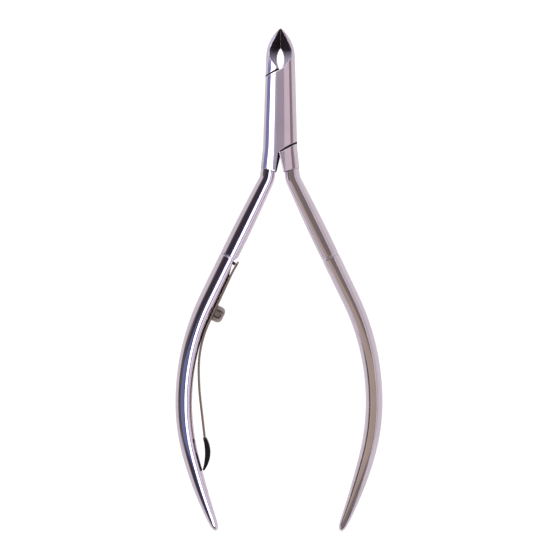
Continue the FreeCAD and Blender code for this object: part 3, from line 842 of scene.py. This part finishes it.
def lever(name, body, head_field, left, head_steels, handle_steels):
    """One lever's two pieces, its head and its handle."""
    crease = EDGE_GAP / 2 if left else -EDGE_GAP / 2
    points, faces, normals = surface_of(head_field, *HEAD_BOX, VOXEL, crease)
    head = mesh_object(name + "_head", points, faces, normals)
    kinds = head_faces_by_kind(points[faces].mean(1), left)
    points, faces, marked = handle_mesh(left)
    handle = mesh_object(name + "_handle", points, faces)
    end_caps = [0, 0]
    marked = np.append(marked, end_caps).astype(np.int32)
    for thing, steels, slots in ((head, head_steels, kinds), (handle, handle_steels, marked)):
        for m in steels:
            thing.data.materials.append(m)
        thing.data.polygons.foreach_set("material_index", slots)
        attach(thing, body)
    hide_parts(name)
    return head, handle


# ---- build -------------------------------------------------------------------------------------------
POLISHED = (0.74, 0.67, 0.73)
GROUND = (0.78, 0.72, 0.84)
HOLLOW_PAINTED_SHADE_FADE = (0.0096, 0.0126, GROUND)
lever_steel = steel("lever_steel", POLISHED, 0.07, 0.12, 0.0)
# The hollow's near-black colour is painted shade; along Y it turns to the paler GROUND colour towards the
# hollow's back end.
hollow_painted_shade_steel = steel(
    "hollow_painted_shade_steel", (0.03, 0.022, 0.028), 0.2, 0.35, 0.4, metallic=0.2, fade=HOLLOW_PAINTED_SHADE_FADE
)
mark_steel = steel("mark_steel", (0.72, 0.66, 0.78), 0.4, 0.55, 0.3)
relief_steel = steel("relief_steel", (0.56, 0.52, 0.62), 0.2, 0.3, 0.3, metallic=0.2)
# Near black, on the faces inside the lap and at the crotch: painted shade for the gaps.
lap_painted_shade_steel = steel("lap_painted_shade_steel", (0.05, 0.042, 0.055), 0.3, 0.45, 0.5)
spring_steel = steel("spring_steel", (0.46, 0.38, 0.35), 0.16, 0.28, 0.4)
screw_steel = steel("screw_steel", (0.40, 0.34, 0.32), 0.18, 0.28, 0.3, EVEN_GRAIN)
pin_steel = steel("pin_steel", (0.05, 0.045, 0.05), 0.3, 0.45, 0.4, EVEN_GRAIN)

head_steels = (lever_steel, hollow_painted_shade_steel, relief_steel, lap_painted_shade_steel)
handle_steels = (lever_steel, mark_steel)
front_head_piece, front_handle = lever("front_lever", "front", front_head, True, head_steels, handle_steels)
rear_head_piece, rear_handle = lever("rear_lever", "rear", rear_head, False, head_steels, handle_steels)

rivet_piece = mesh_object("pivot_rivet_turned", *surface_of(rivet, *RIVET_BOX, RIVET_VOXEL))
rivet_piece.data.materials.append(lever_steel)
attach(rivet_piece, "front")
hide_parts("pivot_rivet")

for node, material in (("spring_nose", black_plastic()), ("locating_pin", pin_steel)):
    nodes[node].data.materials.clear()
    nodes[node].data.materials.append(material)

leaf_piece = mesh_object("leaf_spring_strip", *leaf_mesh())
leaf_piece.data.materials.append(spring_steel)
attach(leaf_piece, "spring")
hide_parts("leaf_spring")

screw_piece = mesh_object("spring_screw_head", *surface_of(screw_head, *SCREW_BOX, SCREW_VOXEL))
screw_piece.data.materials.append(screw_steel)
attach(screw_piece, "front")
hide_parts("spring_screw")

floor()
studio_world()
camera()
heads = [front_head_piece, rear_head_piece, rivet_piece]
small = [leaf_piece, screw_piece, nodes["locating_pin"], nodes["spring_nose"]]
centre, shank, palm = (0.0, 0.0, MID_Z), (-12.0, -36.0, MID_Z), (15.0, -50.0, MID_Z)
WHITE = (1.0, 1.0, 1.0)
# each card: azimuth, the two angles off the vertical, length, colour, strength, what it lights, distance
card("head_left_white", centre, 180, 12, 42, 400, WHITE, 3.0, heads)
card("head_left_lavender", centre, 180, 5, 12, 400, (0.72, 0.72, 1.0), 0.58, heads, 152)
card("head_left_blue", centre, 180, 43, 86, 400, (0.29, 0.41, 1.0), 0.42, heads, 152)
card("head_top", centre, 0, -5, 4.5, 300, (1.0, 0.9, 0.98), 0.38, heads, 152)
card("head_right_pink", centre, 0, 5, 36, 400, (1.0, 0.87, 0.93), 0.68, heads)
card("head_right_brown", centre, 0, 38, 70, 400, (1.0, 0.8, 0.75), 0.22, heads)
card("left_white", shank, -18, 14, 42, 300, WHITE, 3.0, [front_handle])
card("left_blue", shank, -18, 5, 14, 300, (0.08, 0.2, 1.0), 0.42, [front_handle], 148)
card("left_lavender", shank, -18, 43, 82, 300, (0.76, 0.74, 1.0), 0.5, [front_handle])
card("right_top", palm, 0, -64, 30, 400, (1.0, 0.86, 0.76), 0.18, [rear_handle])
card("right_line", palm, 15, 29, 33, 300, (1.0, 0.95, 1.0), 1.1, [rear_handle], 146)
card("right_outer", palm, 15, 32, 66, 300, (1.0, 0.93, 0.92), 0.5, [rear_handle], 140)
card("right_palm", (18.0, -78.0, MID_Z), 0, -60, 26, 60, (1.0, 0.82, 0.55), 0.24, [rear_handle], 148)
card("left_palm_blue", (-19.0, -72.0, MID_Z), 0, -40, 2, 60, (0.38, 0.5, 1.0), 0.34, [front_handle], 148)
card("small_top", (-14, -45, MID_Z), 0, -30, 30, 200, (1.0, 0.9, 0.84), 0.36, small)

scene = bpy.context.scene
scene.view_settings.view_transform = "Standard"
scene.view_settings.look = "None"
